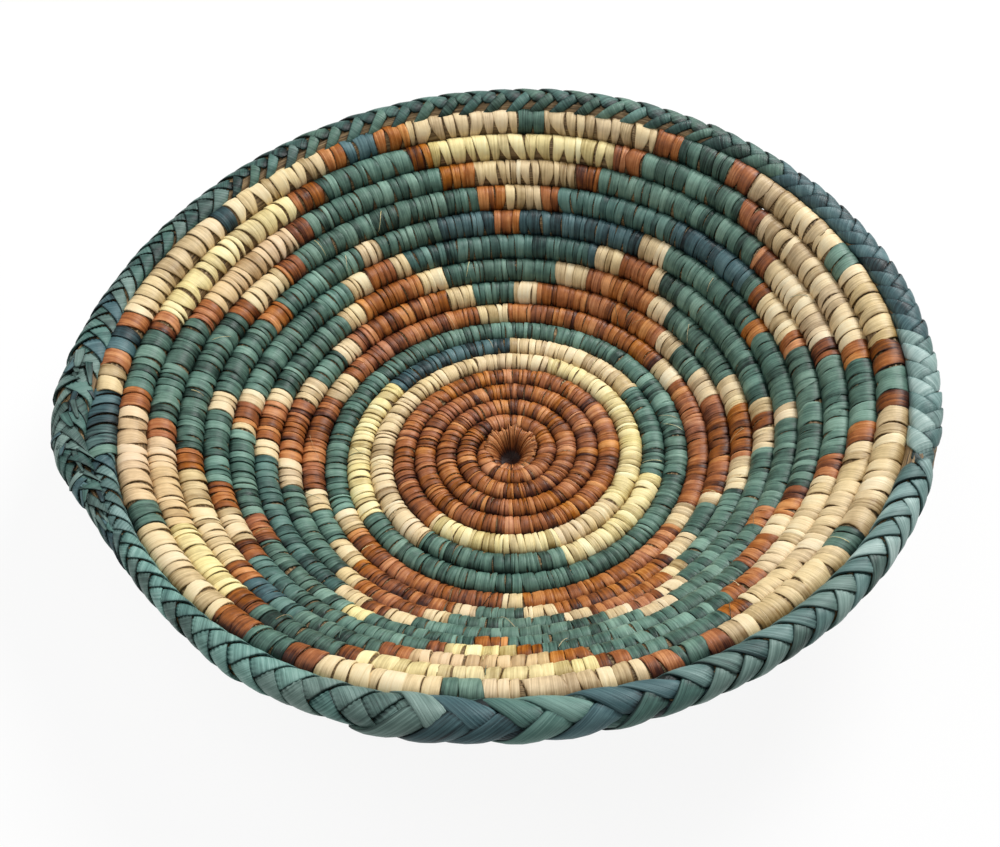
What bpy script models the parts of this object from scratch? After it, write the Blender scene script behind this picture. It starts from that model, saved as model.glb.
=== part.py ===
"""Coiled basket bowl.

A bundle of straw is coiled from a small hole at the centre out to the mouth, flat for the base and then
rising as a shallow wall. Strips of palm leaf are wrapped round the bundle, one sleeve of strips a round, and
sew each round to the one before. A second bundle of straw lies round the mouth under a braid of leaf strips.

Metres, +Z up. The basket stands on z = 0, and the origin is under the middle of its footprint.
Turns are counted along the coil from its start. A seam is the line where two rounds meet, so round n lies
between the seams at n - 1 and n turns, counted at its own middle half a turn to each side.
"""

import math

import bmesh
import bpy
import numpy as np
from mathutils import Vector

# The coil, seen from above
ROUNDS = 17
START_AZIMUTH = math.radians(229.0)
START_RADIUS = 0.0025
HOLE_RADIUS = 0.0052
HOLE_EASE = 0.0035
PITCH_CENTRE = 0.0071
PITCH_RIM = 0.0101
COIL_END_AZIMUTH = math.radians(210.0)
TAPER_ANGLE = math.radians(36.0)
HOLE_AT = (0.0044, -0.0082)

# The coil, seen from the side: flat base, then the wall's slope at so many rounds past the base
BASE_ROUNDS = 7.0
ROUNDS_PAST_BASE = (0.0, 2.5, 5.0, 8.0, 11.5)
WALL_SLOPES = tuple(math.radians(a) for a in (0.0, 33.0, 37.5, 34.5, 32.0))

# How far the hand-made rim strays from a level circle
RIM_TILT = 0.0044
RIM_WAVE = 0.0033
RIM_WAVE_AZIMUTH = math.radians(82.0)
RIM_OVAL = 0.013
RIM_OVAL_AZIMUTH = math.radians(-29.0)
RIM_SHIFT = (-0.0035, 0.0067)

# The bundle and the strips round it
WRAP_WALL = 0.0006
WRAP_CLEARANCE = 0.0003
ROUND_GAP = 0.0005
END_GAP = 0.0003
LEAST_WRAP = 0.0028
LEAST_BUNDLE = 0.0008

# The rim: a straw core inside a flattish braid that droops outwards
BRAID_WIDTH = 0.0095
BRAID_THICKNESS = 0.0066
BRAID_DROOP = math.radians(4.0)
BRAID_SEAT_GAP = 0.0005
RIM_CORE_DIAMETER = 0.0042
RIM_CORE_CLEARANCE = 0.0003
BRAID_RUN_ENDS = tuple(math.radians(a) for a in (18.0, 58.0, 101.0, 143.0, 192.0, 236.0, 285.0, 330.0))

# How finely the solids are faceted
POINTS_PER_ROUND = 24
WRAP_SIDES = 6
BUNDLE_SIDES = 4
BRAID_SIDES = 8
RIM_CORE_SIDES = 6
PROFILE_STEP = 0.01

RUST = (0.40, 0.13, 0.05)
CREAM = (0.69, 0.55, 0.33)
TEAL = (0.09, 0.22, 0.20)
NAVY = (0.04, 0.10, 0.14)
STRAW = (0.47, 0.33, 0.16)
WRAP_COLOURS = (RUST,) * 5 + (CREAM, TEAL, TEAL) + (RUST,) * 3 + (TEAL,) * 4 + (CREAM, CREAM)
BRAID_COLOURS = (NAVY, TEAL, TEAL, TEAL, TEAL, NAVY, TEAL, TEAL)

HEXAGON_HEIGHT = math.cos(math.pi / WRAP_SIDES)
LAST_SEAM = ROUNDS + 0.5
COIL_END = ROUNDS - (START_AZIMUTH - COIL_END_AZIMUTH) / (2 * math.pi)


def clear_scene():
    for obj in list(bpy.data.objects):
        bpy.data.objects.remove(obj)


def pitch_at(turn):
    """The coil's thickness, which grows steadily from the centre to the rim."""
    return PITCH_CENTRE + (PITCH_RIM - PITCH_CENTRE) * turn / ROUNDS


def slope_at(turn):
    return np.interp(turn - BASE_ROUNDS, ROUNDS_PAST_BASE, WALL_SLOPES)


def profile_table():
    """Seam turns, radii and heights of the bowl's wall, summed along its slope."""
    turns = np.arange(-0.5, LAST_SEAM + 1.0, PROFILE_STEP)
    steps = pitch_at(turns) * PROFILE_STEP
    runs = np.cumsum(steps * np.cos(slope_at(turns)))
    rises = np.cumsum(steps * np.sin(slope_at(turns)))
    radii = START_RADIUS + runs - np.interp(0.0, turns, runs)
    return turns, radii, rises


TURNS, RADII, HEIGHTS = profile_table()


def half_height(turn):
    """From the middle of a round to its flat underside."""
    return HEXAGON_HEIGHT * (pitch_at(turn) - ROUND_GAP) / 2


def seam_point(turn, azimuth):
    """Where two rounds meet, on the basket's middle surface."""
    spiral = np.interp(turn, TURNS, RADII)
    beyond_hole = spiral - HOLE_RADIUS
    radius = HOLE_RADIUS + (beyond_hole + math.hypot(beyond_hole, HOLE_EASE)) / 2
    height = np.interp(turn, TURNS, HEIGHTS) + half_height(turn)
    up_wall = max(0.0, (turn - BASE_ROUNDS) / (LAST_SEAM - BASE_ROUNDS))
    stray = up_wall**1.5
    radius *= 1 + stray * RIM_OVAL * math.cos(2 * (azimuth - RIM_OVAL_AZIMUTH))
    height += stray * RIM_TILT * math.cos(azimuth)
    height += stray * RIM_WAVE * math.cos(2 * (azimuth - RIM_WAVE_AZIMUTH))
    return Vector(
        (
            HOLE_AT[0] + stray * RIM_SHIFT[0] + radius * math.cos(azimuth),
            HOLE_AT[1] + stray * RIM_SHIFT[1] + radius * math.sin(azimuth),
            height,
        )
    )


def azimuth_at(turn):
    return START_AZIMUTH + 2 * math.pi * turn


def outer_seam(turn):
    """The seam outside a round. Along the coil's tapered end it comes back to the seam inside."""
    taper = 1 - (COIL_END - turn) * 2 * math.pi / TAPER_ANGLE
    return turn + 0.5 - min(1.0, max(0.0, taper))


def coil_frame(turn):
    """The middle of the coil there, the way across it to the next round, its normal and its half width."""
    azimuth = azimuth_at(turn)
    inner = seam_point(turn - 0.5, azimuth)
    outer = seam_point(outer_seam(turn), azimuth)
    across = outer - inner
    half_width = (across.length - ROUND_GAP) / 2
    across.normalize()
    along = Vector((-math.sin(azimuth), math.cos(azimuth), 0.0))
    return (inner + outer) / 2, across, across.cross(along), half_width


def turns_wider_than(width, turns):
    """The first and last of the turns at which the coil is at least so wide."""
    wide = [turn for turn in turns if 2 * coil_frame(turn)[3] >= width]
    return wide[0], wide[-1]


def section_point(centre, across, normal, side, sides, reach, height):
    angle = 2 * math.pi * side / sides
    return centre + across * reach * math.cos(angle) + normal * height * math.sin(angle)


def wrap_section(turn):
    """The hexagon round the strips. Its underside is flat on the ground along the base."""
    centre, across, normal, half_width = coil_frame(turn)
    on_base = turn + 0.5 <= BASE_ROUNDS
    if on_base:
        centre.z = half_width * HEXAGON_HEIGHT
    points = []
    for side in range(WRAP_SIDES):
        point = section_point(centre, across, normal, side, WRAP_SIDES, half_width, half_width)
        underneath = on_base and side > WRAP_SIDES / 2
        point.z = 0.0 if underneath else max(point.z, 0.0)
        points.append(point)
    return points


def inner_section(turn, inset):
    """The four-sided bore or bundle, so far inside the wrap's hexagon."""
    centre, across, normal, half_width = coil_frame(turn)
    if turn + 0.5 <= BASE_ROUNDS:
        centre.z = half_width * HEXAGON_HEIGHT
    reach = half_width - inset
    height = half_width * HEXAGON_HEIGHT - inset
    sides = range(BUNDLE_SIDES)
    return [section_point(centre, across, normal, side, BUNDLE_SIDES, reach, height) for side in sides]


def stations(first, last):
    """Turns from first to last, with every whole step of the coil between them."""
    inside = [
        step / POINTS_PER_ROUND
        for step in range(math.ceil(first * POINTS_PER_ROUND), math.floor(last * POINTS_PER_ROUND) + 1)
    ]
    least_step = 0.2 / POINTS_PER_ROUND
    inside = [turn for turn in inside if first + least_step < turn < last - least_step]
    return [first] + inside + [last]


def add_loop(bm, points):
    return [bm.verts.new(point) for point in points]


def add_walls(bm, loops):
    for near, far in zip(loops, loops[1:]):
        count = len(near)
        for side in range(count):
            after = (side + 1) % count
            bm.faces.new((near[side], near[after], far[after], far[side]))


def add_ring_cap(bm, outer, inner):
    """Triangles from an outer loop to an inner one with another number of sides."""
    passed_outer = passed_inner = 0
    while passed_outer < len(outer) or passed_inner < len(inner):
        here = outer[passed_outer % len(outer)]
        there = inner[passed_inner % len(inner)]
        if (passed_outer + 1) / len(outer) <= (passed_inner + 1) / len(inner):
            passed_outer += 1
            bm.faces.new((here, outer[passed_outer % len(outer)], there))
        else:
            passed_inner += 1
            bm.faces.new((here, inner[passed_inner % len(inner)], there))


def material(name, colour):
    made = bpy.data.materials.new(name)
    made.use_nodes = True
    shader = made.node_tree.nodes["Principled BSDF"]
    shader.inputs["Base Color"].default_value = (*colour, 1.0)
    shader.inputs["Roughness"].default_value = 0.62
    shader.inputs["Metallic"].default_value = 0.0
    return made


def add_object(name, bm, colour):
    bmesh.ops.recalc_face_normals(bm, faces=bm.faces)
    mesh = bpy.data.meshes.new(name)
    bm.to_mesh(mesh)
    bm.free()
    mesh.shade_smooth()
    mesh.set_sharp_from_angle(angle=math.radians(65.0))
    mesh.materials.append(material(name + "_finish", colour))
    obj = bpy.data.objects.new(name, mesh)
    bpy.context.scene.collection.objects.link(obj)
    return obj


def add_sleeve(name, outer_sections, bore_sections, colour):
    """A tube with a bore from end to end."""
    bm = bmesh.new()
    outer = [add_loop(bm, points) for points in outer_sections]
    bore = [add_loop(bm, points) for points in bore_sections]
    add_walls(bm, outer)
    add_walls(bm, bore)
    add_ring_cap(bm, outer[0], bore[0])
    add_ring_cap(bm, outer[-1], bore[-1])
    return add_object(name, bm, colour)


def add_bar(name, sections, colour):
    """A solid tube closed at both ends."""
    bm = bmesh.new()
    loops = [add_loop(bm, points) for points in sections]
    add_walls(bm, loops)
    bm.faces.new(loops[0])
    bm.faces.new(loops[-1])
    return add_object(name, bm, colour)


def add_foundation_coil():
    """The straw bundle: one unbroken spiral through every round, thin at both ends."""
    inset = WRAP_WALL + WRAP_CLEARANCE
    every = stations(0.0, float(ROUNDS))
    first, last = turns_wider_than(LEAST_BUNDLE + 2 * inset / HEXAGON_HEIGHT, every)
    turns = [turn for turn in every if first <= turn <= last]
    sections = [inner_section(turn, inset) for turn in turns]
    print_least_gap(sections)
    return add_bar("foundation_coil", sections, STRAW)


def print_least_gap(sections):
    """Measures the coil's least gap to itself on its points, a round apart."""
    points = np.array([[tuple(p) for p in section] for section in sections])
    least = min(
        np.linalg.norm(points[i][:, None] - points[i + step][None, :], axis=-1).min()
        for i in range(len(points) - POINTS_PER_ROUND - 1)
        for step in (POINTS_PER_ROUND - 1, POINTS_PER_ROUND, POINTS_PER_ROUND + 1)
    )
    print(f"foundation coil: least gap to itself {1000 * least:.2f} mm")


def wrap_ends(number):
    """The turns between which one round's strips lie, clear of the rounds before and after."""
    first_wide, last_wide = turns_wider_than(LEAST_WRAP, stations(0.0, float(ROUNDS)))
    first = max(number - 1.0, first_wide)
    last = min(float(number), last_wide)
    circumference = 2 * math.pi * (coil_frame(number - 0.5)[0] - Vector((*HOLE_AT, 0.0))).length
    gap = END_GAP / circumference
    return first + gap / 2, last - gap / 2


def add_wrap_rounds():
    for number in range(1, ROUNDS + 1):
        turns = stations(*wrap_ends(number))
        outer = [wrap_section(turn) for turn in turns]
        bore = [inner_section(turn, WRAP_WALL) for turn in turns]
        colour = WRAP_COLOURS[(number - 1) % len(WRAP_COLOURS)]
        add_sleeve(f"wrap_round_{number:02d}", outer, bore, colour)


def rim_frame(azimuth):
    """The middle of the braid, seated on the last round's outer edge, and the ways outwards and up."""
    past_start = (azimuth - START_AZIMUTH) / (2 * math.pi) % 1.0
    edge = seam_point(outer_seam(ROUNDS - 1 + past_start), azimuth)
    outwards = Vector((math.cos(azimuth), math.sin(azimuth), 0.0))
    wide = BRAID_WIDTH / 2
    thick = BRAID_THICKNESS / 2
    inward_reach = math.hypot(wide * math.cos(BRAID_DROOP), thick * math.sin(BRAID_DROOP))
    reach_height = (wide**2 - thick**2) * math.sin(BRAID_DROOP) * math.cos(BRAID_DROOP) / inward_reach
    middle = edge + outwards * (inward_reach + BRAID_SEAT_GAP) - Vector((0.0, 0.0, reach_height))
    return middle, outwards


def braid_section(azimuth):
    middle, outwards = rim_frame(azimuth)
    up = Vector((0.0, 0.0, 1.0))
    across = outwards * math.cos(BRAID_DROOP) - up * math.sin(BRAID_DROOP)
    normal = outwards * math.sin(BRAID_DROOP) + up * math.cos(BRAID_DROOP)
    return [
        section_point(middle, across, normal, side, BRAID_SIDES, BRAID_WIDTH / 2, BRAID_THICKNESS / 2)
        for side in range(BRAID_SIDES)
    ]


def rim_core_section(azimuth, radius):
    middle, outwards = rim_frame(azimuth)
    up = Vector((0.0, 0.0, 1.0))
    sides = range(RIM_CORE_SIDES)
    return [section_point(middle, outwards, up, side, RIM_CORE_SIDES, radius, radius) for side in sides]


def rim_gap_angle():
    middle, _ = rim_frame(0.0)
    return END_GAP / middle.length


def braid_runs():
    """The azimuths between which each run of the braid lies, clear of the runs before and after."""
    half_gap = rim_gap_angle() / 2
    ends = BRAID_RUN_ENDS + (BRAID_RUN_ENDS[0] + 2 * math.pi,)
    return [(first + half_gap, last - half_gap) for first, last in zip(ends, ends[1:])]


def rim_azimuths(first, last):
    """From first to last, with the ends of the braid's runs and the coil's own steps between them."""
    step = 2 * math.pi / POINTS_PER_ROUND
    lap = 2 * math.pi
    run_ends = [end + laps * lap for run in braid_runs() for end in run for laps in (-1, 0, 1)]
    run_ends = [end for end in run_ends if first < end < last]
    kept = run_ends + [first, last]
    first_step = math.ceil((first - START_AZIMUTH) / step)
    last_step = math.floor((last - START_AZIMUTH) / step)
    inside = [START_AZIMUTH + step * number for number in range(first_step, last_step + 1)]
    inside = [azimuth for azimuth in inside if min(abs(azimuth - end) for end in kept) > step / 5]
    return sorted(kept + inside)


def add_rim_core():
    """The straw bundle round the mouth. Its two ends meet where the coil starts and ends."""
    half_gap = rim_gap_angle() / 2
    azimuths = rim_azimuths(START_AZIMUTH + half_gap, START_AZIMUTH + 2 * math.pi - half_gap)
    sections = [rim_core_section(azimuth, RIM_CORE_DIAMETER / 2) for azimuth in azimuths]
    return add_bar("rim_core", sections, STRAW)


def add_rim_braid():
    """The braid in runs, one for each dyed batch of strips."""
    bore_radius = RIM_CORE_DIAMETER / 2 + RIM_CORE_CLEARANCE
    for number, (first, last) in enumerate(braid_runs(), start=1):
        azimuths = rim_azimuths(first, last)
        outer = [braid_section(azimuth) for azimuth in azimuths]
        bore = [rim_core_section(azimuth, bore_radius) for azimuth in azimuths]
        add_sleeve(f"rim_braid_{number:02d}", outer, bore, BRAID_COLOURS[(number - 1) % len(BRAID_COLOURS)])


def main():
    clear_scene()
    add_foundation_coil()
    add_wrap_rounds()
    add_rim_core()
    add_rim_braid()


main()
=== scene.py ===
"""The looks of the coiled basket bowl: leaf strips wrapped round a straw coil, and a herringbone rim.

Each wrap is its own strip of dyed palm leaf, closed round the coil. The pattern is written as a chart of
colour blocks, round by round. All sizes are in metres, and angles along a round are in degrees from the
line where the coil starts.
"""

import math

import bpy
import numpy as np
from mathutils import Matrix, Vector


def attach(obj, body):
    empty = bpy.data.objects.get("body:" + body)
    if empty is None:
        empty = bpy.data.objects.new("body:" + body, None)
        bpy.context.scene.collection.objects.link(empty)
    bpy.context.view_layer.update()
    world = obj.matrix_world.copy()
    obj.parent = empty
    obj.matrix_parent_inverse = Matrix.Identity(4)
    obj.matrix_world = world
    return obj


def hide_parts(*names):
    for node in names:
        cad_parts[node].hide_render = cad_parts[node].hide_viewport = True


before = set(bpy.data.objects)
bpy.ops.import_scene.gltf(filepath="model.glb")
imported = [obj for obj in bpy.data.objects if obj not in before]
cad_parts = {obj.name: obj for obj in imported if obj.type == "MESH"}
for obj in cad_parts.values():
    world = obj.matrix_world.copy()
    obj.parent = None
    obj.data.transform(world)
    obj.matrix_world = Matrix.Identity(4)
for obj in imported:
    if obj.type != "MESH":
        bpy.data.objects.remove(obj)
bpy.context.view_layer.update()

# The coil, as the solids have it
ROUNDS = 17
START_AZIMUTH = math.radians(229.0)
START_RADIUS = 0.0025
HOLE_RADIUS = 0.0052
HOLE_EASE = 0.0035
PITCH_CENTRE = 0.0071
PITCH_RIM = 0.0101
COIL_END_AZIMUTH = math.radians(210.0)
TAPER_ANGLE = math.radians(36.0)
HOLE_AT = (0.0044, -0.0082)
BASE_ROUNDS = 7.0
ROUNDS_PAST_BASE = (0.0, 2.5, 5.0, 8.0, 11.5)
WALL_SLOPES = tuple(math.radians(a) for a in (0.0, 33.0, 37.5, 34.5, 32.0))
RIM_TILT = 0.0044
RIM_WAVE = 0.0033
RIM_WAVE_AZIMUTH = math.radians(82.0)
RIM_OVAL = 0.013
RIM_OVAL_AZIMUTH = math.radians(-29.0)
RIM_SHIFT = (-0.0035, 0.0067)
ROUND_GAP = 0.0005
BRAID_WIDTH = 0.0095
BRAID_SEAT_GAP = 0.0005
HEXAGON_HEIGHT = math.cos(math.pi / 6)
LAST_SEAM = ROUNDS + 0.5
COIL_END = ROUNDS - (START_AZIMUTH - COIL_END_AZIMUTH) / (2 * math.pi)
FULL_TURN = 2 * math.pi

# The photographer's eye, from the middle of the hole in the bowl's base
EYE_FROM_HOLE = Vector((0.0008, -0.2769, 0.3354))
LOOK_FROM_HOLE = Vector((-0.00365, 0.0157, 0.0))
HOLE_HEIGHT = 0.0032
CAMERA_ROLL = -0.0716
LENS = 42.9
SENSOR = 36.0

# The wraps. Strips are narrow near the centre and wide near the mouth
SECTION_FLATNESS = 0.93
PRESSED_TOGETHER = 0.0004
BASE_CLEARANCE = 0.0003
COIL_WANDER = 0.0003
STRIP_THICKNESS = 0.0005
STRIP_FOLDS = 0.00006
UNDER_PLACES = (0.9, -0.9)
ROUNDS_OF_WIDTHS = (1, 4, 6, 9, 12, 15, 16, 17)
WRAP_WIDTHS = (0.0017, 0.0020, 0.0025, 0.0028, 0.0031, 0.0036, 0.0048, 0.0050)
WIDTH_SPREAD = 0.34
WIDTH_LIMITS = (0.5, 2.2)
NARROW_ROUNDS = 8
NARROW_PLACES = (-1.0, -0.78, 0.0, 0.78, 1.0)
WIDE_PLACES = (-1.0, -0.86, -0.46, 0.0, 0.46, 0.86, 1.0)
EDGE_DROP = 0.00022
SHINGLE = 0.00013
# Painted shade along the strips' edges: its share on the raised edge, and its spread from strip to strip
RAISED_EDGE_SHADE = 0.90
EDGE_SHADE_SPREAD = (0.87, 1.0)
WRAP_POINTS_ROUND = 18
LEAST_WRAP = 0.0022
# The rounds over which the wraps change to those of the mouth, and over which the painted shade in the
# grooves eases to that of the wall
MOUTH_ROUNDS = (12, 15)
WALL_ROUNDS = (8, 13)
# How wraps differ. A pair is the least and the most, but for the slant, where it is mean and spread
PINCH_POWER = 7.0
MOUTH_PINCH_POWER_LESS = 3.5
PINCH = (0.08, 0.38)
PALE_PINCH_AT_MOUTH = (0.20, 0.46)
WRAP_COVER = (0.98, 1.10)
WRAP_SLANT = (0.10, 0.20)
SHINGLE_SPREAD = 0.00007
WRAP_LIFT = (-0.00005, 0.00022)
WRAP_CURL = 0.16
WRAP_WAVES = 0.00005
INNER_EDGE_SINKS = 0.00012
TONE_LIMITS = (-1.6, 2.0)
STRAW_SHARE = 0.88
COIL_STALKS = 15
COIL_RIBS = 0.00022
STRAW_STARTS = 0.18
STRAW_ENDS = ROUNDS - 1 + 313.0 / 360

# The pattern: on each round, the colour of a block and the angle at which it ends
PATTERN = {
    1: "R360",
    2: "R360",
    3: "R360",
    4: "R360",
    5: "R358 C360",
    6: "Y60 C92 Y200 C360",
    7: "C1 T59 Y113 T160 C219 N272 Y339 T360",
    8: "T333 C342 R360",
    9: "R36 C42 R94 C103 R153 C163 R219 C229 R278 C288 R324 C332 T344 C354 R360",
    10: "R24 C30 T42 C50 R83 C92 T103 C107 R141 C151 T161 C168 R210 C217 T229 C237 R269 C275 T286 C294 "
    "R315 C324 T355 C360",
    11: "C1 R19 C25 T51 C57 R77 C82 T107 C117 R133 C143 T170 C176 R196 C205 T236 C243 R261 C267 T295 C299 "
    "R311 C316 D360",
    12: "T0.5 C7.5 R13 C19 T59 C64 R71 C77 T117 C123 R127 C131 T176 C179 R188 C195 N197 D244 C248 R255 C261 "
    "T299 C303 R309 C311 T335 R343 T360",
    13: "T7 Y12 T33 R39 T64 C71 T94 R99 T122 C126 T146 R150 T178 C185 N215 R221 N234 T249 C254 T276 R282 "
    "T303 C308 T327 R334 C343 R348 D360",
    14: "T26 R29 Y41 R45 T83 R91 C96 R103 T137 R141 C152 R155 T158 N179 D206 R210 C218 R224 T266 R271 C281 "
    "R285 T320 R325 C349 R354 N360",
    15: "D5 T20 R25 P46 R52 T75 R82 C104 R109 T131 R135 C156 R160 T198 R203 C224 R231 T260 R264 P286 R291 "
    "T315 R319 P339 Y356 R360",
    16: "R1 T16 R19 Y52 R56 T71 R75 C110 R114 T127 R131 C163 R168 T190 R196 Y232 R236 T254 R260 Y293 R297 "
    "T310 R314 P334 T339 C359 R360",
    17: "R5 T11 R16 C32 T37 C57 R61 T65 R68 C88 T92 C115 R118 T123 R128 C144 T149 C169 R174 T184 R189 C210 "
    "T215 C235 R241 N247 R251 C270 N273 C296 R299 N304 R307 C312",
}


def srgb(red, green, blue):
    """A colour as it is seen on a screen, 0 to 255, in the linear values that shaders take."""
    parts = [value / 255 for value in (red, green, blue)]
    return tuple(p / 12.92 if p <= 0.04045 else ((p + 0.055) / 1.055) ** 2.4 for p in parts)


# Dark, middle and light shades of each dye, and the finish that the solids give it
DYES = {
    "R": ("rust_leaf", "rust_leaf", srgb(66, 27, 10), srgb(163, 98, 55), srgb(226, 162, 108)),
    "C": ("cream_leaf", "cream_leaf", srgb(138, 110, 70), srgb(237, 213, 168), srgb(255, 245, 212)),
    "Y": ("yellow_leaf", "cream_leaf", srgb(148, 122, 68), srgb(249, 232, 172), srgb(255, 252, 214)),
    "P": ("pink_leaf", "cream_leaf", srgb(140, 106, 68), srgb(233, 203, 157), srgb(250, 228, 192)),
    "T": ("teal_leaf", "teal_leaf", srgb(28, 50, 43), srgb(89, 120, 107), srgb(140, 173, 156)),
    "D": ("deep_teal_leaf", "teal_leaf", srgb(26, 48, 46), srgb(80, 114, 106), srgb(122, 156, 146)),
    "N": ("navy_leaf", "navy_leaf", srgb(20, 34, 38), srgb(66, 95, 99), srgb(110, 141, 143)),
    "S": ("satin_teal_leaf", "teal_leaf", srgb(54, 86, 82), srgb(120, 159, 150), srgb(176, 209, 200)),
    "G": ("grey_teal_leaf", "teal_leaf", srgb(38, 56, 52), srgb(98, 123, 116), srgb(148, 172, 164)),
    "L": ("pale_teal_leaf", "teal_leaf", srgb(72, 98, 96), srgb(140, 167, 162), srgb(192, 212, 206)),
    "B": ("blue_teal_leaf", "navy_leaf", srgb(38, 60, 60), srgb(94, 123, 119), srgb(148, 175, 170)),
}
PALE_DYES = "CYP"
DYE_LETTERS = list(DYES)


def pitch_at(turn):
    return PITCH_CENTRE + (PITCH_RIM - PITCH_CENTRE) * turn / ROUNDS


def profile_table():
    """Seam turns, radii and heights of the bowl's wall, summed along its slope."""
    step = 0.01
    turns = np.arange(-0.5, LAST_SEAM + 1.0, step)
    slopes = np.interp(turns - BASE_ROUNDS, ROUNDS_PAST_BASE, WALL_SLOPES)
    runs = np.cumsum(pitch_at(turns) * step * np.cos(slopes))
    rises = np.cumsum(pitch_at(turns) * step * np.sin(slopes))
    radii = START_RADIUS + runs - np.interp(0.0, turns, runs)
    return turns, radii, rises


TURNS, RADII, HEIGHTS = profile_table()


def seam_points(turns, azimuths):
    """Where two rounds meet, on the basket's middle surface."""
    spiral = np.interp(turns, TURNS, RADII)
    beyond_hole = spiral - HOLE_RADIUS
    radius = HOLE_RADIUS + (beyond_hole + np.hypot(beyond_hole, HOLE_EASE)) / 2
    height = np.interp(turns, TURNS, HEIGHTS) + HEXAGON_HEIGHT * (pitch_at(turns) - ROUND_GAP) / 2
    up_wall = np.clip((turns - BASE_ROUNDS) / (LAST_SEAM - BASE_ROUNDS), 0.0, None)
    stray = up_wall**1.5
    radius = radius * (1 + stray * RIM_OVAL * np.cos(2 * (azimuths - RIM_OVAL_AZIMUTH)))
    height = height + stray * RIM_TILT * np.cos(azimuths)
    height = height + stray * RIM_WAVE * np.cos(2 * (azimuths - RIM_WAVE_AZIMUTH))
    x = HOLE_AT[0] + stray * RIM_SHIFT[0] + radius * np.cos(azimuths)
    y = HOLE_AT[1] + stray * RIM_SHIFT[1] + radius * np.sin(azimuths)
    return np.stack((x, y, height), axis=-1)


def outer_seam(turns):
    """The seam outside a round. Along the coil's tapered end it comes back to the seam inside."""
    taper = 1 - (COIL_END - turns) * FULL_TURN / TAPER_ANGLE
    return turns + 0.5 - np.clip(taper, 0.0, 1.0)


def unsteady(values, seed, size):
    """A smooth stray of a hand-made thing, the same each run: waves of a few lengths."""
    lengths = (3.1, 7.7, 17.3, 41.9)
    waves = [np.sin(values * length + seed * 1.7 * number) for number, length in enumerate(lengths, 1)]
    return size * sum(waves) / len(lengths)


def coil_frames(turns):
    """The middle of the coil at each turn, the way across it, its normal and its half width."""
    azimuths = START_AZIMUTH + FULL_TURN * turns
    inner = seam_points(turns - 0.5, azimuths)
    outer = seam_points(outer_seam(turns), azimuths)
    across = outer - inner
    length = np.linalg.norm(across, axis=-1, keepdims=True)
    across = across / np.maximum(length, 1e-9)
    along = np.stack((-np.sin(azimuths), np.cos(azimuths), np.zeros_like(azimuths)), axis=-1)
    normal = np.cross(across, along)
    normal = normal / np.maximum(np.linalg.norm(normal, axis=-1, keepdims=True), 1e-9)
    half = length[..., 0] / 2
    middle = (inner + outer) / 2
    lowest = half * SECTION_FLATNESS + BASE_CLEARANCE
    middle[..., 2] = np.maximum(middle[..., 2], lowest)
    middle = middle + normal * unsteady(turns, 2.0, COIL_WANDER)[..., None]
    return middle, across, normal, half


def coil_surface(turns, angles, lift):
    """Points on the coil's section, at an angle round it from its outer side over the top."""
    middle, across, normal, half = coil_frames(turns)
    reach = half + lift + PRESSED_TOGETHER
    height = half * SECTION_FLATNESS + lift
    sideways = across * (reach * np.cos(angles))[..., None]
    upwards = normal * (height * np.sin(angles))[..., None]
    return middle + sideways + upwards


def radius_of_round(number):
    return float(np.interp(number - 0.5, TURNS, RADII))


def ease(share):
    """From 0 to 1 with a soft start and end."""
    held = np.clip(share, 0.0, 1.0)
    return held * held * (3 - 2 * held)


def make_strips(name, points, attributes, dyes, materials, closed_round):
    """One mesh of closed strips. Points run strip by strip, along each strip, round its section."""
    strips, rows, columns, _ = points.shape
    number = np.arange(strips * rows * columns).reshape(strips, rows, columns)
    near = number if closed_round else number[:, :-1]
    far = np.roll(number, -1, axis=1) if closed_round else number[:, 1:]
    near_next = np.roll(near, -1, axis=2)
    far_next = np.roll(far, -1, axis=2)
    faces = np.stack((near, near_next, far_next, far), axis=-1)
    owners = [np.repeat(np.arange(strips), faces.shape[1] * columns)]
    face_list = faces.reshape(-1, 4).tolist()
    if not closed_round:
        face_list += [row[::-1].tolist() for row in number[:, 0]] + [row.tolist() for row in number[:, -1]]
        owners.append(np.tile(np.arange(strips), 2))
    mesh = bpy.data.meshes.new(name)
    mesh.from_pydata(points.reshape(-1, 3).tolist(), [], face_list)
    mesh.polygons.foreach_set("material_index", np.asarray(dyes)[np.concatenate(owners)].astype(np.int32))
    for key, values in attributes.items():
        layer = mesh.attributes.new(key, "FLOAT", "POINT")
        full = np.broadcast_to(values, (strips, rows, columns))
        layer.data.foreach_set("value", np.ascontiguousarray(full, dtype=np.float32).ravel())
    for made in materials:
        mesh.materials.append(made)
    mesh.shade_smooth()
    mesh.update()
    obj = bpy.data.objects.new(name, mesh)
    bpy.context.scene.collection.objects.link(obj)
    return obj


def keep_piece(obj, slot, *nodes):
    """The piece rides on the basket and stands for the nodes. The slot is not used."""
    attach(obj, "root")
    if nodes:
        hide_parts(*nodes)


def usual_slot(dyes):
    return DYES[DYE_LETTERS[max(set(dyes), key=dyes.count)]][1]


def strip_section(places, count, rng, drop):
    """Across each strip, over its back from edge to edge and then under it: places and heights."""
    back_places = np.array(places)
    fall = -drop * np.abs(back_places) ** 7
    folds = rng.uniform(-STRIP_FOLDS, STRIP_FOLDS, (count, len(places)))
    under = np.full((count, 2), -STRIP_THICKNESS)
    heights = np.concatenate((fall + folds, under), axis=1)
    return np.concatenate((back_places, UNDER_PLACES)), heights


def blocks_of(number):
    """The colour blocks of one round: dye, first turn and last turn."""
    start = 0.0
    for word in PATTERN[number].split():
        end = float(word[1:])
        yield word[0], number - 1 + start / 360, number - 1 + end / 360
        start = end


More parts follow.
